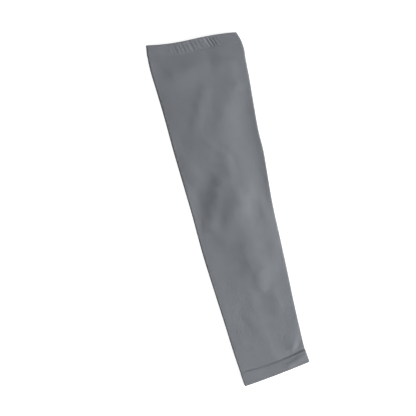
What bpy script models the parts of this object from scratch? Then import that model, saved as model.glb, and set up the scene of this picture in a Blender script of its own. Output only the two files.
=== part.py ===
"""A knit arm sleeve lying flat: a tapered tube with a gathered band at the upper arm and a folded band
at the wrist. Metres, +Z up. +Y runs from the wrist hem to the upper-arm hem, +X is to the right seen
from above, and the underside lies on z = 0."""

import math
from collections import namedtuple

import bmesh
import bpy
from mathutils import Vector

# The sleeve as it lies: length from hem to hem, flat widths, and heights over the middle
SLEEVE_LENGTH = 0.420
WRIST_WIDTH = 0.084
UPPER_WIDTH = 0.117
WRIST_HEIGHT = 0.0068
UPPER_HEIGHT = 0.0075

# Cloth: the tube is one layer and each band is folded double
TUBE_WALL = 0.0010
BAND_WALL = 0.0012
FOLD_BORE = 0.0020  # inner radius of the thicker cloth where it folds over along both sides
SIDE_POWER = 60.0  # how squarely the upper layer turns down into that fold
BAND_STEP = 0.0003  # how far a band stands proud of the tube

# Bands
WRIST_BAND = 0.0172
UPPER_BAND = 0.0125
SEWN_GAP = 0.0003  # between a band and the tube

# How the hems lie: they lean across the sleeve, they and the sewn lines sag towards the wrist in the
# middle, and the upper ones sway
WRIST_LEAN_DEG = 6.5
UPPER_LEAN_DEG = -6.05
HEM_SAG = 0.0007
SEAM_SAG = 0.0026
UPPER_SWAY = 0.0013

# The long seam, a groove down the underside
SEAM_WANDER = 0.006  # how far left of the middle it starts at the wrist, and comes back up the sleeve
SEAM_JOG = 0.0019  # how far right of its own line it lies in the wrist band
SEAM_HALF_WIDTH = 0.0006
SEAM_DEPTH = 0.0004

# A full soft fold in the upper layer, and the largest gather in the upper band
FOLD_WIDTH = 0.025
FOLD_HEIGHT = 0.0020
GATHER_WIDTH = 0.0016
GATHER_DEPTH = 0.0007
GATHER_DRIFT = 0.0035  # how far to the right a gather runs on its way from the hem to the tube

# Mesh: rings along each piece, and edges round a ring
TUBE_ROWS = 50
BAND_ROWS = 4
FLAT_EDGES = 3
CORNER_EDGES = 4
TOP_EDGES = 30
GATHERED_TOP_EDGES = 104
WELD = 0.00001

CLOTH_COLOUR = (0.186, 0.195, 0.210, 1.0)
CLOTH_ROUGHNESS = 0.72

# along: share of the length from the wrist hem. width: share of the straight taper's half width there.
# shift: how far the middle lies to the right, as a share of that half width. height: share of the
# straight taper's height.
Station = namedtuple("Station", "along width shift height")
STATIONS = [
    Station(0.000, 0.993, 0.000, 1.00),
    Station(0.043, 0.978, -0.036, 1.00),
    Station(0.107, 0.981, -0.054, 1.01),
    Station(0.179, 0.981, -0.060, 1.02),
    Station(0.262, 0.991, -0.063, 1.02),
    Station(0.381, 0.998, -0.070, 1.02),
    Station(0.450, 0.989, -0.066, 1.02),
    Station(0.500, 0.986, -0.055, 1.02),
    Station(0.595, 1.001, -0.034, 1.02),
    Station(0.640, 1.007, -0.026, 1.02),
    Station(0.700, 0.997, -0.032, 1.02),
    Station(0.786, 1.000, -0.011, 1.02),
    Station(0.857, 1.010, 0.002, 1.02),
    Station(0.917, 1.016, 0.005, 1.01),
    Station(0.945, 1.017, 0.015, 0.99),
    Station(0.970, 0.997, 0.015, 0.97),
    Station(1.000, 0.942, 0.000, 1.00),
]

# Ridges and dents in the upper layer. Their ends are shares of the length from the wrist hem and of the
# half width, -1 at the left edge and 1 at the right. width and height are shares of a full fold's.
Fold = namedtuple("Fold", "along_0 across_0 along_1 across_1 width height")
FOLDS = [
    Fold(0.908, -0.52, 0.925, -0.04, 0.50, 0.75),
    Fold(0.915, 0.48, 0.907, 0.69, 0.45, 0.75),
    Fold(0.877, 0.59, 0.843, 0.71, 0.30, 0.25),
    Fold(0.840, -0.82, 0.762, -0.90, 0.50, 0.40),
    Fold(0.845, -0.08, 0.770, -0.34, 0.30, 0.40),
    Fold(0.831, 0.54, 0.722, 0.29, 0.60, 0.70),
    Fold(0.795, -0.36, 0.705, -0.30, 1.10, 1.10),
    Fold(0.806, 0.98, 0.512, 0.98, 0.80, -1.00),
    Fold(0.790, 0.20, 0.745, 0.06, 0.55, 0.45),
    Fold(0.655, 0.16, 0.518, 0.19, 0.95, 1.00),
    Fold(0.650, 0.11, 0.542, 0.14, 0.30, 0.25),
    Fold(0.638, -0.81, 0.602, -0.70, 0.35, 0.45),
    Fold(0.580, -0.18, 0.470, -0.62, 0.42, 0.90),
    Fold(0.560, 0.08, 0.490, -0.08, 0.70, 0.60),
    Fold(0.554, -0.78, 0.468, -0.96, 0.35, -0.60),
    Fold(0.493, 0.74, 0.454, 0.78, 0.30, 0.50),
    Fold(0.500, 0.18, 0.310, 0.27, 0.95, 1.30),
    Fold(0.478, -0.20, 0.430, -0.38, 0.40, 0.40),
    Fold(0.430, 0.05, 0.330, 0.15, 0.70, 0.50),
    Fold(0.452, 0.93, 0.342, 0.91, 0.50, 0.60),
    Fold(0.295, 0.19, 0.273, 0.24, 0.30, 0.35),
    Fold(0.225, 0.51, 0.195, 0.56, 0.35, 0.35),
    Fold(0.149, -0.03, 0.126, -0.08, 0.30, 0.20),
    Fold(0.122, 0.99, 0.070, 0.71, 0.30, 0.30),
]

# Gathers in the upper band: place as a share of the half width, width and depth as shares of the largest.
Gather = namedtuple("Gather", "across width depth")
GATHERS = [
    Gather(-0.46, 0.8, 0.4),
    Gather(-0.40, 0.9, 0.6),
    Gather(-0.31, 0.9, 0.5),
    Gather(-0.23, 0.9, 0.6),
    Gather(-0.15, 0.8, 0.3),
    Gather(-0.05, 1.0, 0.7),
    Gather(0.04, 0.8, 0.3),
    Gather(0.13, 0.8, 0.5),
    Gather(0.31, 0.9, 1.0),
    Gather(0.38, 0.9, 1.0),
    Gather(0.44, 0.8, 0.6),
]

WRIST_SEAM = WRIST_BAND / SLEEVE_LENGTH
UPPER_SEAM = 1.0 - UPPER_BAND / SLEEVE_LENGTH


def blend(start, end, share):
    return start + (end - start) * share


def station_value(column, along):
    """The value of a station column at a share of the length, on a smooth curve through the rows."""
    last = len(STATIONS) - 2
    i = min(last, max(0, sum(row.along <= along for row in STATIONS) - 1))

    def slope(k):
        low, high = STATIONS[max(k - 1, 0)], STATIONS[min(k + 1, last + 1)]
        return (getattr(high, column) - getattr(low, column)) / (high.along - low.along)

    start, end = STATIONS[i], STATIONS[i + 1]
    span = end.along - start.along
    t = (along - start.along) / span
    return (
        (2 * t**3 - 3 * t**2 + 1) * getattr(start, column)
        + (t**3 - 2 * t**2 + t) * span * slope(i)
        + (3 * t**2 - 2 * t**3) * getattr(end, column)
        + (t**3 - t**2) * span * slope(i + 1)
    )


def half_width(along):
    return blend(WRIST_WIDTH, UPPER_WIDTH, along) / 2 * station_value("width", along)


def middle_x(along):
    return blend(WRIST_WIDTH, UPPER_WIDTH, along) / 2 * station_value("shift", along)


def height(along):
    return blend(WRIST_HEIGHT, UPPER_HEIGHT, along) * station_value("height", along)


def body_share(along):
    """1 on the tube, falling to 0 at each hem."""
    return min(1.0, along / WRIST_SEAM, (1.0 - along) / (1.0 - UPPER_SEAM))


def place_y(along, across):
    """How far along +Y a point of the ring at this share of the length lies."""
    lean = blend(math.radians(WRIST_LEAN_DEG), math.radians(UPPER_LEAN_DEG), along)
    sag = blend(HEM_SAG, SEAM_SAG, body_share(along)) * (1 - across**2)
    sway = UPPER_SWAY * max(0.0, 2 * along - 1) * math.sin(math.pi * across)
    return SLEEVE_LENGTH * along + math.tan(lean) * half_width(along) * across - sag + sway


def fold_lift(along, across):
    """How far the soft folds raise the upper layer."""
    half = half_width(along)
    lift = 0.0
    for fold in FOLDS:
        start = Vector((fold.across_0 * half, fold.along_0 * SLEEVE_LENGTH))
        run = Vector((fold.across_1 * half, fold.along_1 * SLEEVE_LENGTH)) - start
        point = Vector((across * half, along * SLEEVE_LENGTH)) - start
        share = min(1.0, max(0.0, point.dot(run) / run.length_squared))
        away = (point - run * share).length / (FOLD_WIDTH * fold.width)
        lift += FOLD_HEIGHT * fold.height * math.exp(-(away**2))
    return lift * (1 - across**4) * body_share(along)


def gather_drop(along, across):
    """How far the gathers lower the upper layer of the upper band."""
    band_share = (along - UPPER_SEAM) / (1.0 - UPPER_SEAM)
    if band_share <= 0.0:
        return 0.0
    half = half_width(along)
    drop = 0.0
    for gather in GATHERS:
        centre = gather.across * half + GATHER_DRIFT * (0.5 - band_share)
        away = (across * half - centre) / (GATHER_WIDTH * gather.width)
        drop += GATHER_DEPTH * gather.depth * math.exp(-(away**2))
    return drop * math.sin(math.pi * (0.15 + 0.7 * band_share))


def ring(along, step, top_edges, seam_x):
    """The outer line round the sleeve at a share of the length. It starts on the long seam, goes left
    under the sleeve, back over the top to the right, and under again."""
    radius = FOLD_BORE + max(TUBE_WALL, BAND_WALL)
    half = half_width(along) + step
    flat = half - radius
    rise = height(along) + step - radius
    middle = middle_x(along)
    seam = seam_x - middle
    turns = [math.pi / 2 * i / CORNER_EDGES for i in range(CORNER_EDGES + 1)]
    line = [(seam, SEAM_DEPTH)]
    line += [
        (blend(seam - SEAM_HALF_WIDTH, -flat, i / FLAT_EDGES), 0.0) for i in range(FLAT_EDGES)
    ]
    line += [(-flat - radius * math.sin(a), radius * (1 - math.cos(a))) for a in turns]
    for i in range(1, top_edges):
        across = -math.cos(math.pi * i / top_edges)
        lift = fold_lift(along, across) - gather_drop(along, across)
        crown = rise * math.sqrt(1 - abs(across) ** SIDE_POWER)
        line.append((half * across, radius + crown + lift))
    line += [(flat + radius * math.sin(a), radius * (1 - math.cos(a))) for a in reversed(turns)]
    line += [
        (blend(flat, seam + SEAM_HALF_WIDTH, i / FLAT_EDGES), 0.0)
        for i in range(1, FLAT_EDGES + 1)
    ]
    return [Vector((middle + x, place_y(along, x / half), z)) for x, z in line]


def sewn_tube(name, rings, wall, material, collection):
    """A tube through rings: a grid rolled round them, welded into a tube, with its wall inside."""
    rows = len(rings) - 1
    columns = len(rings[0])
    bm = bmesh.new()
    bmesh.ops.create_grid(bm, x_segments=columns, y_segments=rows, size=0.5)
    for vert in bm.verts:
        column = round((vert.co.x + 0.5) * columns) % columns
        row = round((vert.co.y + 0.5) * rows)
        vert.co = rings[row][column]
    bmesh.ops.remove_doubles(bm, verts=bm.verts, dist=WELD)
    mesh = bpy.data.meshes.new(name)
    bm.to_mesh(mesh)
    bm.free()
    mesh.shade_smooth()
    mesh.materials.append(material)
    tube = bpy.data.objects.new(name, mesh)
    collection.objects.link(tube)
    solidify = tube.modifiers.new("cloth_wall", "SOLIDIFY")
    solidify.thickness = wall
    solidify.offset = -1.0
    solidify.use_even_offset = True
    return tube


def seam_line(along):
    return -SEAM_WANDER * (1 - along) ** 3


def make_tube(material, collection):
    first = WRIST_SEAM + SEWN_GAP / 2 / SLEEVE_LENGTH
    last = UPPER_SEAM - SEWN_GAP / 2 / SLEEVE_LENGTH
    rings = []
    for row in range(TUBE_ROWS + 1):
        along = blend(first, last, row / TUBE_ROWS)
        rings.append(ring(along, 0.0, TOP_EDGES, seam_line(along)))
    return sewn_tube("sleeve_tube", rings, TUBE_WALL, material, collection)


def make_wrist_band(material, collection):
    last = WRIST_SEAM - SEWN_GAP / 2 / SLEEVE_LENGTH
    rings = []
    for row in range(BAND_ROWS + 1):
        along = blend(0.0, last, row / BAND_ROWS)
        seam = seam_line(along) + SEAM_JOG
        rings.append(ring(along, BAND_STEP, TOP_EDGES, seam))
    return sewn_tube("wrist_band", rings, BAND_WALL, material, collection)


def make_upper_band(material, collection):
    first = UPPER_SEAM + SEWN_GAP / 2 / SLEEVE_LENGTH
    rings = []
    for row in range(BAND_ROWS + 1):
        along = blend(first, 1.0, row / BAND_ROWS)
        rings.append(ring(along, BAND_STEP, GATHERED_TOP_EDGES, seam_line(along)))
    return sewn_tube("upper_band", rings, BAND_WALL, material, collection)


def cloth(name):
    material = bpy.data.materials.new(name)
    material.use_nodes = True
    shader = material.node_tree.nodes["Principled BSDF"]
    shader.inputs["Base Color"].default_value = CLOTH_COLOUR
    shader.inputs["Roughness"].default_value = CLOTH_ROUGHNESS
    shader.inputs["Metallic"].default_value = 0.0
    return material


def centre_on(pieces, frame):
    """Parents the pieces to the frame, which puts the middle of their outline over the origin."""
    corners = [vert.co for piece in pieces for vert in piece.data.vertices]
    for piece in pieces:
        piece.parent = frame
    for axis in (0, 1):
        low = min(corner[axis] for corner in corners)
        high = max(corner[axis] for corner in corners)
        frame.location[axis] = -(low + high) / 2


def main():
    for old in list(bpy.data.objects):
        bpy.data.objects.remove(old)
    collection = bpy.data.collections.new("arm_sleeve")
    bpy.context.scene.collection.children.link(collection)
    frame = bpy.data.objects.new("sleeve_frame", None)
    collection.objects.link(frame)
    pieces = [
        make_tube(cloth("tube_knit"), collection),
        make_wrist_band(cloth("wrist_band_knit"), collection),
        make_upper_band(cloth("upper_band_knit"), collection),
    ]
    centre_on(pieces, frame)


main()
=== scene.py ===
"""The arm sleeve as the photograph shows it: grey jersey lying on a white table, seen straight down."""

import math
from collections import namedtuple

import bpy
import numpy as np
from mathutils import Matrix, Vector


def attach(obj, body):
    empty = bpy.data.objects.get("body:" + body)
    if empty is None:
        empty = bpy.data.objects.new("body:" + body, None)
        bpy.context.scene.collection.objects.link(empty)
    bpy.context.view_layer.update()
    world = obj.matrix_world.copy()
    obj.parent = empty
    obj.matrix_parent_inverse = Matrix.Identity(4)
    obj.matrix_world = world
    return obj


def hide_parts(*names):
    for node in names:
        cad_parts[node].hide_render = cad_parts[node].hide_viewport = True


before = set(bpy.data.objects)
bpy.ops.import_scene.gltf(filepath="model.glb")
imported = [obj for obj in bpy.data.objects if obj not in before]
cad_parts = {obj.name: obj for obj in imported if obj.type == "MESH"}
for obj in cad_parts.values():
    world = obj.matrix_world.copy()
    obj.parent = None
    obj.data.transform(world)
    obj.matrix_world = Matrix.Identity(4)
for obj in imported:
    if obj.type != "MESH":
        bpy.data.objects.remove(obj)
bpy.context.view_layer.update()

# Sizes that the part's source has too, in metres and radians
SLEEVE_LENGTH = 0.420
WRIST_WIDTH = 0.084
UPPER_WIDTH = 0.117
WRIST_HEIGHT = 0.0068
UPPER_HEIGHT = 0.0075
SIDE_RADIUS = 0.0032  # outer radius of the fold along each side: the source's bore and thicker cloth
BAND_STEP = 0.0003  # how far a band stands proud of the tube
WRIST_BAND = 0.0172
UPPER_BAND = 0.0125
WRIST_LEAN = math.radians(6.5)
UPPER_LEAN = math.radians(-6.05)
HEM_SAG = 0.0007
SEAM_SAG = 0.0026
UPPER_SWAY = 0.0013
SEAM_WANDER = 0.006
SEAM_JOG = 0.0019
FOLD_WIDTH = 0.025
FOLD_HEIGHT = 0.0020
GATHER_DRIFT = 0.0035

# Cloth, in finer detail than the part's source
SIDE_POWER = 90.0  # how squarely the upper layer turns down at the sides
GATHER_WIDTH = 0.0014
GATHER_DEPTH = 0.00085
GATHER_START = 0.15  # a gather's depth follows this stretch of half a wave, from sewn line to hem
GATHER_END = 0.85
TUBE_PLY = 0.0008
BAND_THICK = 0.0012  # a folded band, both layers and the air between them
BAND_PLY = 0.00055
GROOVE_DEPTH = 0.0005  # the long seam, pressed up into the underside
GROOVE_HALF = 0.0006

# Small unevenness of the cloth: soft waves. Their height is a share of their length.
RIPPLE = 0.0011
HEM_RIPPLE = 0.35  # share of that height that is left at the hems
WAVE_SEED = 11
WAVE_ANGLE = 0.25  # mean direction, and its spread
WAVE_SPREAD = 0.55
Waves = namedtuple("Waves", "count shortest longest share")
WAVES = [
    Waves(26, 0.012, 0.045, 1.0),
    Waves(14, 0.005, 0.011, 0.6),
]

# Sewn lines between the bands and the tube
WRIST_DIP = 0.00048  # how far the cloth turns in at a sewn line
UPPER_DIP = 0.00005
SEWN_REACH = 0.0009  # how far from the line it starts to turn in
WRIST_EASE = 0.00028  # how much less it turns in at the left of the wrist line
EASE_EDGE = 0.4  # where that starts, as a share of the half width. It grows to the left.
EASE_MOST = 1.3  # times WRIST_EASE, at most
WRIST_GAP = 0.0001  # half the distance between the two cloths at a sewn line
UPPER_GAP = 0.00003

# Sewing threads
STITCH_PITCH = 0.0021
THREAD = 0.00013  # radius
THREAD_SIDES = 6
THREAD_END = 0.55  # radius at the ends, as a share
THREAD_PAINTED_SHADE = (0.8, 0.3)  # painted shade in the grooves between the plies, as a share of its colour: least, and what the twist adds
TWIST_SCALE = 2200.0
TWIST_RELIEF = 0.00004
BAND_STITCH = np.array([-1.5, -0.9, 0.0, 0.9, 1.5]) / 1000  # five points across a sewn line
BAND_STITCH_SUNK = np.array([0.10, 0.02, 0.08, 0.02, 0.10]) / 1000  # how deep they lie in the cloth
BAND_STITCH_SLANT = 0.3  # as a share of the pitch
LONG_STITCH = np.array([-0.7, -0.35, 0.0, 0.35, 0.7]) / 1000  # five points across the long seam
LONG_STITCH_HEIGHT = np.array([0.16, 0.30, 0.52, 0.30, 0.16]) / 1000
LONG_STITCH_SLANT = 0.0003  # half the slant
LONG_SEAM_FROM = 0.004  # its first thread, from the wrist hem
LONG_SEAM_TO = 0.003  # its last thread is at least this far from the other hem

# Knit
WALE = 0.00056  # width of a stitch
COURSE = 0.00046  # height of a stitch
STITCH_RISE = -0.62  # height of the V's point over its two ends, in stitches
KNIT_RELIEF = 0.00014
YARN_RELIEF = 0.35  # fuzz of the yarn, as a share of a stitch's relief
STITCH_PAINTED_SHADE = (0.84, 0.26)  # painted shade in the grooves between stitches, as a share of the colour: least, and what is added at most
YARN_SHADE = (0.92, 0.16)
CLOUD_SHADE = (0.90, 0.20)
YARN_SCALE = 900.0
CLOUD_SCALE = 26.0
GREY = (0.1056, 0.1121, 0.1229)
THREAD_GREY = (0.15, 0.157, 0.17)

# Mesh: rows along a piece, columns round it
TUBE_ROWS = 262
OUTER_ROWS = 12
INNER_ROWS = 10
TOP_EDGES = 116
UNDER_EDGES = 16
GATHERED_TOP_EDGES = 260
GATHERED_UNDER_EDGES = 20
TURN_POINTS = 8  # round the fold along each side
HEM_POINTS = 9  # round the fold at a hem
NEAR_LONG_SEAM = [0, 0.006, 0.012, 0.018, 0.026, 0.04, 0.065, 0.1]  # shares of the half underside
BEFORE_END = 0.9999  # a last column just before the ring closes
NEAR_SEWN_LINE = np.array([0, 0.15, 0.3, 0.5, 0.7, 0.95, 1.25, 1.6, 2.1, 2.8]) / 1000
EVEN_FROM = 0.0036  # where the even rows start, past the rows near a sewn line
INNER_STOP = 0.0006  # how near to the sewn line a band's inner layer ends

# The photograph's frame, in the part's frame
VIEW_CENTRE = (-0.0322, 0.0056)
VIEW_TURN = math.radians(-14.42)
VIEW_FIELD = 0.5055
VIEW_PLANE = 0.0022
LENS_MM = 135.0
SENSOR_MM = 36.0
SIGHT = 20.0  # how far the camera sees

# Table and lights. The table glows a little, as a light table does.
TABLE_HALF = 4.0
TABLE_GREY = 0.45
TABLE_GLOW = 0.87
ROOM_LIGHT = 0.155
Light = namedtuple("Light", "name place aim size power")
LIGHTS = [
    Light("key", (2.08, -1.213, 1.183), (-0.02, 0, 0), 1.12, 240.0),
    Light("fill", (-0.50, 0.06, 0.14), (-0.02, 0, 0), 0.35, 0.6),
    Light("overhead", (-0.3, 0.2, 2.6), (0, 0, 0), 2.2, 10.0),
]

# along: share of the length from the wrist hem. width: share of the straight taper's half width there.
# shift: how far the middle lies to the right, as a share of that half width. height: share of the
# straight taper's height.
Station = namedtuple("Station", "along width shift height")
STATIONS = [
    Station(0.000, 0.993, 0.000, 1.00),
    Station(0.043, 0.978, -0.036, 1.00),
    Station(0.107, 0.981, -0.054, 1.01),
    Station(0.179, 0.981, -0.060, 1.02),
    Station(0.262, 0.991, -0.063, 1.02),
    Station(0.381, 0.998, -0.070, 1.02),
    Station(0.450, 0.989, -0.066, 1.02),
    Station(0.500, 0.986, -0.055, 1.02),
    Station(0.595, 1.001, -0.034, 1.02),
    Station(0.640, 1.007, -0.026, 1.02),
    Station(0.700, 0.997, -0.032, 1.02),
    Station(0.786, 1.000, -0.011, 1.02),
    Station(0.857, 1.010, 0.002, 1.02),
    Station(0.917, 1.016, 0.005, 1.01),
    Station(0.945, 1.017, 0.015, 0.99),
    Station(0.970, 0.997, 0.015, 0.97),
    Station(1.000, 0.942, 0.000, 1.00),
]

# A fold runs from one point to another. across: share of the half width, right of the middle. width and
# height are shares of a full fold's. The last four are not in the part's source.
Fold = namedtuple("Fold", "along_0 across_0 along_1 across_1 width height")
FOLDS = [
    Fold(0.908, -0.52, 0.925, -0.04, 0.50, 0.75),
    Fold(0.915, 0.48, 0.907, 0.69, 0.45, 0.75),
    Fold(0.877, 0.59, 0.843, 0.71, 0.30, 0.25),
    Fold(0.840, -0.82, 0.762, -0.90, 0.50, 0.40),
    Fold(0.845, -0.08, 0.770, -0.34, 0.30, 0.40),
    Fold(0.831, 0.54, 0.722, 0.29, 0.60, 0.70),
    Fold(0.795, -0.36, 0.705, -0.30, 1.10, 1.10),
    Fold(0.806, 0.98, 0.512, 0.98, 0.80, -1.00),
    Fold(0.790, 0.20, 0.745, 0.06, 0.55, 0.45),
    Fold(0.655, 0.16, 0.518, 0.19, 0.95, 1.00),
    Fold(0.650, 0.11, 0.542, 0.14, 0.30, 0.25),
    Fold(0.638, -0.81, 0.602, -0.70, 0.35, 0.45),
    Fold(0.580, -0.18, 0.470, -0.62, 0.42, 0.90),
    Fold(0.560, 0.08, 0.490, -0.08, 0.70, 0.60),
    Fold(0.554, -0.78, 0.468, -0.96, 0.35, -0.60),
    Fold(0.493, 0.74, 0.454, 0.78, 0.30, 0.50),
    Fold(0.500, 0.18, 0.310, 0.27, 0.95, 1.30),
    Fold(0.478, -0.20, 0.430, -0.38, 0.40, 0.40),
    Fold(0.430, 0.05, 0.330, 0.15, 0.70, 0.50),
    Fold(0.452, 0.93, 0.342, 0.91, 0.50, 0.60),
    Fold(0.295, 0.19, 0.273, 0.24, 0.30, 0.35),
    Fold(0.225, 0.51, 0.195, 0.56, 0.35, 0.35),
    Fold(0.149, -0.03, 0.126, -0.08, 0.30, 0.20),
    Fold(0.122, 0.99, 0.070, 0.71, 0.30, 0.30),
    Fold(0.083, 0.84, 0.058, 0.64, 0.13, 0.18),
    Fold(0.070, 0.96, 0.050, 0.74, 0.12, -0.25),
    Fold(0.046, 0.35, 0.043, 0.78, 0.22, -0.30),
    Fold(0.014, 0.42, 0.019, 0.86, 0.14, 1.30),
]

# Gathers of the upper band. width and depth are shares of GATHER_WIDTH and GATHER_DEPTH.
Gather = namedtuple("Gather", "across width depth")
GATHERS = [
    Gather(-0.46, 0.8, 0.35),
    Gather(-0.40, 0.9, 0.50),
    Gather(-0.31, 0.9, 0.35),
    Gather(-0.23, 0.9, 0.50),
    Gather(-0.15, 0.8, 0.25),
    Gather(-0.05, 1.0, 0.75),
    Gather(0.04, 0.8, 0.25),
    Gather(0.13, 0.8, 0.40),
    Gather(0.31, 0.9, 1.35),
    Gather(0.38, 0.9, 1.40),
    Gather(0.44, 0.8, 1.00),
    Gather(0.52, 0.7, 0.35),
]

WRIST_SEAM = WRIST_BAND / SLEEVE_LENGTH
UPPER_SEAM = 1.0 - UPPER_BAND / SLEEVE_LENGTH


def station(column, along):
    """The value of a station column, on a smooth curve through the rows."""
    places = np.array([row.along for row in STATIONS])
    values = np.array([getattr(row, column) for row in STATIONS])
    slopes = np.empty_like(values)
    slopes[1:-1] = (values[2:] - values[:-2]) / (places[2:] - places[:-2])
    slopes[0] = (values[1] - values[0]) / (places[1] - places[0])
    slopes[-1] = (values[-1] - values[-2]) / (places[-1] - places[-2])
    i = np.clip(np.searchsorted(places, along, side="right") - 1, 0, len(places) - 2)
    span = places[i + 1] - places[i]
    t = (along - places[i]) / span
    return (
        (2 * t**3 - 3 * t**2 + 1) * values[i]
        + (t**3 - 2 * t**2 + t) * span * slopes[i]
        + (3 * t**2 - 2 * t**3) * values[i + 1]
        + (t**3 - t**2) * span * slopes[i + 1]
    )


def taper(start, end, along):
    """From start to end, at a share of the way."""
    return start + (end - start) * along


def half_width(along):
    return taper(WRIST_WIDTH, UPPER_WIDTH, along) / 2 * station("width", along)


def middle_x(along):
    """How far the middle lies to the right of the straight line from hem to hem."""
    return taper(WRIST_WIDTH, UPPER_WIDTH, along) / 2 * station("shift", along)


def height(along):
    return taper(WRIST_HEIGHT, UPPER_HEIGHT, along) * station("height", along)


def seam_x(along):
    """Where the long seam runs on the underside. It jogs to the right in the wrist band."""
    jog = SEAM_JOG * (along < WRIST_SEAM)
    return jog - SEAM_WANDER * (1 - along) ** 3


def body_share(along):
    """1 along the tube, falling to 0 at each hem."""
    return np.clip(np.minimum(along / WRIST_SEAM, (1 - along) / (1 - UPPER_SEAM)), 0, 1)


def place_y(along, across):
    """Leaning and sagging lines across the sleeve, which turn evenly from the wrist to the upper arm."""
    lean = taper(WRIST_LEAN, UPPER_LEAN, along)
    sag = taper(HEM_SAG, SEAM_SAG, body_share(along)) * (1 - across**2)
    sway = UPPER_SWAY * np.maximum(0, 2 * along - 1) * np.sin(math.pi * across)
    return SLEEVE_LENGTH * along + np.tan(lean) * half_width(along) * across - sag + sway


def fold_lift(along, across):
    """How far the folds raise the upper layer. They fade out at the sides and the hems."""
    half = half_width(along)
    x, y = across * half, along * SLEEVE_LENGTH
    lift = 0.0
    for fold in FOLDS:
        x0, y0 = fold.across_0 * half, fold.along_0 * SLEEVE_LENGTH
        run_x = (fold.across_1 - fold.across_0) * half
        run_y = (fold.along_1 - fold.along_0) * SLEEVE_LENGTH
        share = np.clip(((x - x0) * run_x + (y - y0) * run_y) / (run_x**2 + run_y**2), 0, 1)
        away = np.hypot(x - x0 - share * run_x, y - y0 - share * run_y) / (FOLD_WIDTH * fold.width)
        lift = lift + FOLD_HEIGHT * fold.height * np.exp(-(away**2))
    return lift * (1 - across**4) * body_share(along)


def gather_drop(along, across):
    """How deep the gathers of the upper band are."""
    band_share = np.clip((along - UPPER_SEAM) / (1 - UPPER_SEAM), 0, 1)
    half = half_width(along)
    drop = 0.0
    for gather in GATHERS:
        centre = gather.across * half + GATHER_DRIFT * (0.5 - band_share)
        away = (across * half - centre) / (GATHER_WIDTH * gather.width)
        drop = drop + GATHER_DEPTH * gather.depth * np.exp(-(away**2))
    swell = np.sin(math.pi * taper(GATHER_START, GATHER_END, band_share))
    return drop * swell * (along > UPPER_SEAM)


def ripple(along, across):
    """Small soft unevenness of cloth that was laid down by hand: waves in many directions."""
    draw = np.random.default_rng(WAVE_SEED)
    x, y = across * half_width(along), along * SLEEVE_LENGTH
    total = 0.0
    for waves in WAVES:
        for _ in range(waves.count):
            length = draw.uniform(waves.shortest, waves.longest)
            angle = draw.normal(WAVE_ANGLE, WAVE_SPREAD)
            phase = draw.uniform(0, 2 * math.pi)
            wave = (x * math.cos(angle) + y * math.sin(angle)) * 2 * math.pi / length + phase
            total = total + waves.share * length * np.sin(wave)
    return RIPPLE * total


def around(top_edges, flat_edges):
    """Places round a ring, from the long seam on the underside: (stretch, share along that stretch).
    Stretches: 0 under left, 1 left turn, 2 top, 3 right turn, 4 under right."""
    under = NEAR_LONG_SEAM + list(np.linspace(NEAR_LONG_SEAM[-1], 1, flat_edges)[1:-1])
    turn = np.linspace(0, 1, TURN_POINTS)
    places = [(0, s) for s in under]
    places += [(1, s) for s in turn[:-1]]
    places += [(2, s) for s in -np.cos(np.linspace(0, math.pi, top_edges + 1))[:-1]]
    places += [(3, s) for s in turn[:-1]]
    places += [(4, 1 - s) for s in reversed(under[1:])] + [(4, BEFORE_END), (4, 1.0)]
    return np.array(places)


def rings(along, places, step=0.0, inset=0.0, out=0.0):
    """Points of shape (rows, columns, 3). step moves them outward at the sides and the top, inset into
    the sleeve, and out along +Y."""
    along = np.asarray(along, float).reshape(-1, 1)
    inset = np.asarray(inset, float).reshape(-1, 1) * np.ones_like(along)
    out = np.asarray(out, float).reshape(-1, 1) * np.ones_like(along)
    kind, share = places[:, 0][None, :], places[:, 1][None, :]
    half = half_width(along) + step
    flat = half - SIDE_RADIUS
    radius = SIDE_RADIUS - inset
    rise = height(along) + step - SIDE_RADIUS - inset
    middle = middle_x(along)
    seam = seam_x(along) - middle
    x = np.zeros((along.size, len(places)))
    z = np.zeros_like(x)

    def put(k, xs, zs):
        pick = np.broadcast_to(kind == k, x.shape)
        x[pick] = np.broadcast_to(xs, x.shape)[pick]
        z[pick] = np.broadcast_to(zs, x.shape)[pick]

    quarter = math.pi / 2
    put(0, seam + (-flat - seam) * share, inset)
    put(1, -flat - radius * np.sin(quarter * share), SIDE_RADIUS - radius * np.cos(quarter * share))
    crown = np.sqrt(np.clip(1 - np.abs(share) ** SIDE_POWER, 0, 1))
    put(2, (half - inset) * share, SIDE_RADIUS + rise * crown)
    put(3, flat + radius * np.cos(quarter * share), SIDE_RADIUS - radius * np.sin(quarter * share))
    put(4, flat + (seam - flat) * share, inset)

    across = x / half
    on_top = np.broadcast_to(kind == 2, x.shape)
    lift = fold_lift(along, across) - gather_drop(along, across)
    lift = lift + ripple(along, across) * (1 - across**4) * taper(HEM_RIPPLE, 1, body_share(along))
    sewn = np.exp(-(((along - WRIST_SEAM) * SLEEVE_LENGTH / SEWN_REACH) ** 2))
    lift = lift + WRIST_EASE * sewn * np.clip(EASE_EDGE - across, 0, EASE_MOST)
    z += on_top * lift
    under = np.broadcast_to((kind == 0) | (kind == 4), x.shape)
    groove = GROOVE_DEPTH * np.exp(-(((x - seam) / GROOVE_HALF) ** 2))
    z += under * groove
    y = place_y(along, across) + out
    return np.stack([middle + x, y, z], axis=-1)


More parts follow.
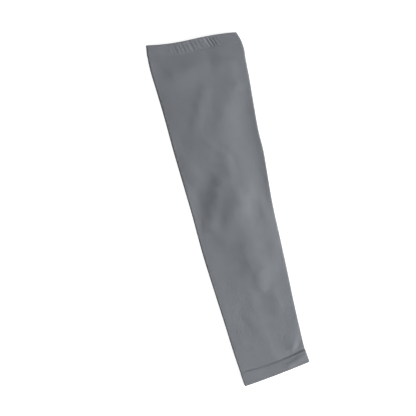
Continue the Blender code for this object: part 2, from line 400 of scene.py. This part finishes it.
def cloth_mesh(name, points, v):
    """A tube-shaped surface through rings whose last column lies on the first, with UVs in metres."""
    rows, columns = points.shape[0], points.shape[1] - 1
    across = np.linalg.norm(np.diff(points, axis=1), axis=2)
    u = np.concatenate([np.zeros((rows, 1)), np.cumsum(across, axis=1)], axis=1)
    u -= u[:, -1:] / 2
    r, c = np.meshgrid(np.arange(rows - 1), np.arange(columns), indexing="ij")
    r, c = r.ravel(), c.ravel()
    after = (c + 1) % columns
    here, above = r * columns, (r + 1) * columns
    faces = np.stack([here + c, here + after, above + after, above + c], 1)
    mesh = bpy.data.meshes.new(name)
    mesh.from_pydata(points[:, :-1].reshape(-1, 3).tolist(), [], faces.tolist())
    corner_u = np.stack([u[r, c], u[r, c + 1], u[r + 1, c + 1], u[r + 1, c]], 1)
    corner_v = np.stack([v[r], v[r], v[r + 1], v[r + 1]], 1)
    layer = mesh.uv_layers.new(name="cloth")
    layer.data.foreach_set("uv", np.stack([corner_u, corner_v], -1).ravel())
    mesh.shade_smooth()
    return mesh


def add_piece(name, mesh, material, node=None, ply=None):
    piece = bpy.data.objects.new(name, mesh)
    bpy.context.scene.collection.objects.link(piece)
    piece.location = CENTRE
    mesh.materials.append(material)
    if ply:
        wall = piece.modifiers.new("ply", "SOLIDIFY")
        wall.thickness = ply
        wall.offset = -1.0
        wall.use_even_offset = True
    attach(piece, "root")
    if node:
        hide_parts(node)
    return piece


def dip(depth, distance):
    """How far the cloth turns in at a distance from a sewn line."""
    return depth * np.exp(-((distance / SEWN_REACH) ** 2))


def tube_rows(count):
    """Rows of the tube between the two sewn lines, and how far each is turned in."""
    first = WRIST_SEAM * SLEEVE_LENGTH + WRIST_GAP
    last = UPPER_SEAM * SLEEVE_LENGTH - UPPER_GAP
    inner = np.linspace(first + EVEN_FROM, last - EVEN_FROM, count)
    y = np.concatenate([first + NEAR_SEWN_LINE, inner, (last - NEAR_SEWN_LINE)[::-1]])
    return y / SLEEVE_LENGTH, dip(WRIST_DIP, y - first) + dip(UPPER_DIP, last - y)


def band_rows(seam, hem, depth, gap, outer, inner):
    """Rows from the sewn line to the hem on the outer ply, round the fold, and back on the inner ply."""
    way = 1.0 if hem > seam else -1.0
    start = seam * SLEEVE_LENGTH + way * gap
    radius = BAND_THICK / 2
    turn_at = hem * SLEEVE_LENGTH - way * radius
    span = abs(turn_at - start)
    away = np.concatenate([NEAR_SEWN_LINE, np.linspace(EVEN_FROM, span, outer)])
    y_outer = start + way * away
    angle = np.linspace(0, math.pi, HEM_POINTS)[1:-1]
    back = np.linspace(span, INNER_STOP, inner)
    y_inner = start + way * back
    along = np.concatenate([y_outer, np.full(angle.size, turn_at), y_inner]) / SLEEVE_LENGTH
    inset = np.concatenate([dip(depth, away), radius * (1 - np.cos(angle)), np.full(inner, BAND_THICK)])
    out = np.concatenate([np.zeros(away.size), way * radius * np.sin(angle), np.zeros(inner)])
    v_back = turn_at + way * (math.pi * radius + span - back)
    v = np.concatenate([y_outer, turn_at + way * radius * angle, v_back])
    return along, inset, out, v


def resample(line, count, start=0.0):
    """count points at equal distances round a closed line."""
    closed = np.concatenate([line, line[:1]])
    steps = np.linalg.norm(np.diff(closed, axis=0), axis=1)
    run = np.concatenate([[0], np.cumsum(steps)])
    places = (np.arange(count) + start) / count * run[-1] % run[-1]
    return np.stack([np.interp(places, run, closed[:, k]) for k in range(3)], axis=1)


def thread_mesh(name, paths):
    """Short round threads along paths of shape (threads, points, 3), with closed ends."""
    count, length = paths.shape[:2]
    way = np.gradient(paths, axis=1)
    way /= np.linalg.norm(way, axis=2, keepdims=True)
    steady = np.array([0.31, 0.17, 0.94])  # along no thread
    side = np.cross(way, steady)
    side /= np.linalg.norm(side, axis=2, keepdims=True)
    lift = np.cross(side, way)
    thin = np.array([THREAD_END] + [1.0] * (length - 2) + [THREAD_END]).reshape(1, length, 1, 1)
    angle = (np.arange(THREAD_SIDES) / THREAD_SIDES * 2 * math.pi)[None, None, :, None]
    circle = side[:, :, None] * np.cos(angle) + lift[:, :, None] * np.sin(angle)
    points = paths[:, :, None] + THREAD * thin * circle
    index = np.arange(count * length * THREAD_SIDES).reshape(count, length, THREAD_SIDES)
    after = np.roll(index, -1, axis=2)
    walls = np.stack([index[:, :-1], after[:, :-1], after[:, 1:], index[:, 1:]], -1).reshape(-1, 4)
    caps = np.concatenate([index[:, 0, ::-1], index[:, -1]])
    mesh = bpy.data.meshes.new(name)
    mesh.from_pydata(points.reshape(-1, 3).tolist(), [], walls.tolist() + caps.tolist())
    mesh.shade_smooth()
    return mesh


def ladder(seam, places, step, dip_depth):
    """Threads that cross a sewn line all round the sleeve, each with a slight slant."""
    sunk = BAND_STITCH_SUNK + dip(dip_depth, BAND_STITCH)
    starts = np.linspace(0, BAND_STITCH_SLANT, sunk.size)
    lines = []
    ring_length = np.linalg.norm(np.diff(rings([seam], places, step)[0], axis=0), axis=1).sum()
    count = round(ring_length / STITCH_PITCH)
    for start, away, depth in zip(starts, BAND_STITCH, sunk):
        line = rings([seam + away / SLEEVE_LENGTH], places, step, depth)[0][:-1]
        lines.append(resample(line, count, start))
    threads = np.stack(lines, axis=1)
    threads[..., 2] = np.maximum(threads[..., 2], THREAD)
    return threads


def new_material(name):
    material = bpy.data.materials.new(name)
    material.use_nodes = True
    return material, material.node_tree.nodes, material.node_tree.links


def math_node(nodes, links, operation, *values):
    node = nodes.new("ShaderNodeMath")
    node.operation = operation
    for socket, value in zip(node.inputs, values):
        if hasattr(value, "links"):
            links.new(value, socket)
        else:
            socket.default_value = value
    return node.outputs[0]


def knit(name, colour):
    """Jersey: rows of V-shaped stitches over cloth coordinates in metres, with soft uneven shades. The
    colour is darker where a stitch's relief is low: painted shade in the grooves between stitches.
    """
    material, nodes, links = new_material(name)
    shader = nodes["Principled BSDF"]
    shader.inputs["Roughness"].default_value = 0.86
    shader.inputs["Specular IOR Level"].default_value = 0.28
    shader.inputs["Sheen Weight"].default_value = 0.22
    shader.inputs["Sheen Roughness"].default_value = 0.45
    uv = nodes.new("ShaderNodeUVMap")
    uv.uv_map = "cloth"
    split = nodes.new("ShaderNodeSeparateXYZ")
    links.new(uv.outputs[0], split.inputs[0])
    u, v = split.outputs[0], split.outputs[1]

    def m(operation, *values):
        return math_node(nodes, links, operation, *values)

    def arch(share, power):
        """0 at both ends of a share from 0 to 1, and 1 in its middle."""
        from_centre = m("ABSOLUTE", m("SUBTRACT", m("MULTIPLY", share, 2.0), 1.0))
        return m("SUBTRACT", 1.0, m("POWER", from_centre, power))

    def shaded(amount, least_and_more):
        least, more = least_and_more
        return m("ADD", m("MULTIPLY", amount, more), least)

    wale_share = m("FRACT", m("DIVIDE", u, WALE))
    from_middle = m("MULTIPLY", m("ABSOLUTE", m("SUBTRACT", wale_share, 0.5)), 2.0)
    rise = m("MULTIPLY", from_middle, STITCH_RISE)
    course_share = m("FRACT", m("ADD", m("DIVIDE", v, COURSE), rise))
    stitch = m("MULTIPLY", arch(from_middle, 2.0), arch(course_share, 3.0))

    yarn = nodes.new("ShaderNodeTexNoise")
    yarn.inputs["Scale"].default_value = YARN_SCALE
    yarn.inputs["Detail"].default_value = 2.0
    links.new(uv.outputs[0], yarn.inputs["Vector"])
    cloud = nodes.new("ShaderNodeTexNoise")
    cloud.inputs["Scale"].default_value = CLOUD_SCALE
    cloud.inputs["Detail"].default_value = 3.0
    links.new(uv.outputs[0], cloud.inputs["Vector"])
    # painted shade: the colour darkens in the grooves between stitches, where the relief is low
    shade = shaded(stitch, STITCH_PAINTED_SHADE)
    shade = m("MULTIPLY", shade, shaded(yarn.outputs[0], YARN_SHADE))
    shade = m("MULTIPLY", shade, shaded(cloud.outputs[0], CLOUD_SHADE))
    tint = nodes.new("ShaderNodeVectorMath")
    tint.operation = "SCALE"
    tint.inputs[0].default_value = colour
    links.new(shade, tint.inputs["Scale"])
    links.new(tint.outputs[0], shader.inputs["Base Color"])

    relief_height = m("ADD", stitch, m("MULTIPLY", yarn.outputs[0], YARN_RELIEF))
    bump = nodes.new("ShaderNodeBump")
    bump.inputs["Strength"].default_value = 0.8
    bump.inputs["Distance"].default_value = KNIT_RELIEF
    links.new(relief_height, bump.inputs["Height"])
    links.new(bump.outputs[0], shader.inputs["Normal"])
    return material


def thread_material(name, colour):
    """Twisted thread: fine slanting ply lines in object space. The colour darkens in the grooves between
    the plies, where the relief is low: painted shade.
    """
    material, nodes, links = new_material(name)
    shader = nodes["Principled BSDF"]
    shader.inputs["Roughness"].default_value = 0.7
    shader.inputs["Sheen Weight"].default_value = 0.2
    where = nodes.new("ShaderNodeTexCoord")
    twist = nodes.new("ShaderNodeTexWave")
    twist.bands_direction = "DIAGONAL"
    twist.inputs["Scale"].default_value = TWIST_SCALE
    twist.inputs["Distortion"].default_value = 1.5
    links.new(where.outputs["Object"], twist.inputs["Vector"])
    # painted shade: the colour darkens in the grooves between the plies, where the relief is low
    least, more = THREAD_PAINTED_SHADE
    shade = math_node(nodes, links, "MULTIPLY", twist.outputs["Fac"], more)
    shade = math_node(nodes, links, "ADD", shade, least)
    tint = nodes.new("ShaderNodeVectorMath")
    tint.operation = "SCALE"
    tint.inputs[0].default_value = colour
    links.new(shade, tint.inputs["Scale"])
    links.new(tint.outputs[0], shader.inputs["Base Color"])
    bump = nodes.new("ShaderNodeBump")
    bump.inputs["Strength"].default_value = 0.5
    bump.inputs["Distance"].default_value = TWIST_RELIEF
    links.new(twist.outputs["Fac"], bump.inputs["Height"])
    links.new(bump.outputs[0], shader.inputs["Normal"])
    return material


TUBE_AROUND = around(TOP_EDGES, UNDER_EDGES)
WRIST_AROUND = around(TOP_EDGES, UNDER_EDGES)
UPPER_AROUND = around(GATHERED_TOP_EDGES, GATHERED_UNDER_EDGES)

# The part's origin lies under the middle of the outline of all rings
edges = np.concatenate([
    rings(np.linspace(WRIST_SEAM, UPPER_SEAM, 120), TUBE_AROUND).reshape(-1, 3),
    rings(np.linspace(0, WRIST_SEAM, 12), WRIST_AROUND, BAND_STEP).reshape(-1, 3),
    rings(np.linspace(UPPER_SEAM, 1, 12), TUBE_AROUND, BAND_STEP).reshape(-1, 3),
])
CENTRE = Vector((
    -(edges[:, 0].min() + edges[:, 0].max()) / 2,
    -(edges[:, 1].min() + edges[:, 1].max()) / 2,
    0.0,
))

along, inset = tube_rows(TUBE_ROWS)
tube = add_piece(
    "knit_tube",
    cloth_mesh("knit_tube", rings(along, TUBE_AROUND, 0.0, inset), along * SLEEVE_LENGTH),
    knit("tube_jersey", GREY),
    "sleeve_tube",
    TUBE_PLY,
)

along, inset, out, v = band_rows(WRIST_SEAM, 0.0, WRIST_DIP, WRIST_GAP, OUTER_ROWS, INNER_ROWS)
wrist = add_piece(
    "wrist_hem",
    cloth_mesh("wrist_hem", rings(along, WRIST_AROUND, BAND_STEP, inset, out)[::-1], v[::-1]),
    knit("wrist_jersey", GREY),
    "wrist_band",
    BAND_PLY,
)

along, inset, out, v = band_rows(UPPER_SEAM, 1.0, UPPER_DIP, UPPER_GAP, OUTER_ROWS, INNER_ROWS)
upper = add_piece(
    "upper_hem",
    cloth_mesh("upper_hem", rings(along, UPPER_AROUND, BAND_STEP, inset, out), v),
    knit("upper_jersey", GREY),
    "upper_band",
    BAND_PLY,
)

thread = thread_material("sewing_thread", THREAD_GREY)


def long_seam_threads():
    """Threads that cross the long seam on the underside, from band to band."""
    places = np.arange(LONG_SEAM_FROM, SLEEVE_LENGTH - LONG_SEAM_TO, STITCH_PITCH) / SLEEVE_LENGTH
    x = seam_x(places)[:, None] + LONG_STITCH
    slant = np.linspace(-LONG_STITCH_SLANT, LONG_STITCH_SLANT, LONG_STITCH.size)
    across = (x - middle_x(places)[:, None]) / half_width(places)[:, None]
    y = place_y(places[:, None], across) + slant
    return np.stack([x, y, np.broadcast_to(LONG_STITCH_HEIGHT, x.shape)], axis=-1)


seam_stitches = add_piece("seam_stitching", thread_mesh("seam_stitching", long_seam_threads()), thread)
wrist_ladder = ladder(WRIST_SEAM, WRIST_AROUND, BAND_STEP / 2, WRIST_DIP)
wrist_stitches = add_piece("wrist_stitching", thread_mesh("wrist_stitching", wrist_ladder), thread)
upper_ladder = ladder(UPPER_SEAM, UPPER_AROUND, BAND_STEP / 2, UPPER_DIP)
upper_stitches = add_piece("upper_stitching", thread_mesh("upper_stitching", upper_ladder), thread)


def add_floor():
    mesh = bpy.data.meshes.new("table_top")
    corners = [(x * TABLE_HALF, y * TABLE_HALF, 0) for x, y in ((-1, -1), (1, -1), (1, 1), (-1, 1))]
    mesh.from_pydata(corners, [], [(0, 1, 2, 3)])
    table_top = bpy.data.objects.new("table_top", mesh)
    bpy.context.scene.collection.objects.link(table_top)
    material, nodes, _ = new_material("white_table")
    shader = nodes["Principled BSDF"]
    shader.inputs["Base Color"].default_value = (TABLE_GREY, TABLE_GREY, TABLE_GREY, 1)
    shader.inputs["Roughness"].default_value = 0.9
    shader.inputs["Specular IOR Level"].default_value = 0.0
    shader.inputs["Emission Color"].default_value = (1, 1, 1, 1)
    shader.inputs["Emission Strength"].default_value = TABLE_GLOW
    mesh.materials.append(material)


def add_light(name, place, aim, size, power):
    light = bpy.data.lights.new(name, "AREA")
    light.shape = "SQUARE"
    light.size = size
    light.energy = power
    lamp = bpy.data.objects.new(name, light)
    lamp.location = place
    lamp.rotation_mode = "QUATERNION"
    lamp.rotation_quaternion = (Vector(aim) - Vector(place)).to_track_quat("-Z", "Y")
    bpy.context.scene.collection.objects.link(lamp)


def add_camera():
    camera = bpy.data.cameras.new("camera")
    camera.lens = LENS_MM
    camera.sensor_width = SENSOR_MM
    camera.clip_end = SIGHT
    eye = bpy.data.objects.new("camera", camera)
    distance = VIEW_FIELD * LENS_MM / SENSOR_MM
    place = Matrix.Translation((*VIEW_CENTRE, VIEW_PLANE + distance))
    eye.matrix_world = place @ Matrix.Rotation(VIEW_TURN, 4, "Z")
    bpy.context.scene.collection.objects.link(eye)
    bpy.context.scene.camera = eye


add_floor()
for light in LIGHTS:
    add_light(*light)
add_camera()

world = bpy.data.worlds.new("studio")
world.use_nodes = True
world.node_tree.nodes["Background"].inputs[0].default_value = (1, 1, 1, 1)
world.node_tree.nodes["Background"].inputs[1].default_value = ROOM_LIGHT
bpy.context.scene.world = world
bpy.context.scene.view_settings.view_transform = "Standard"
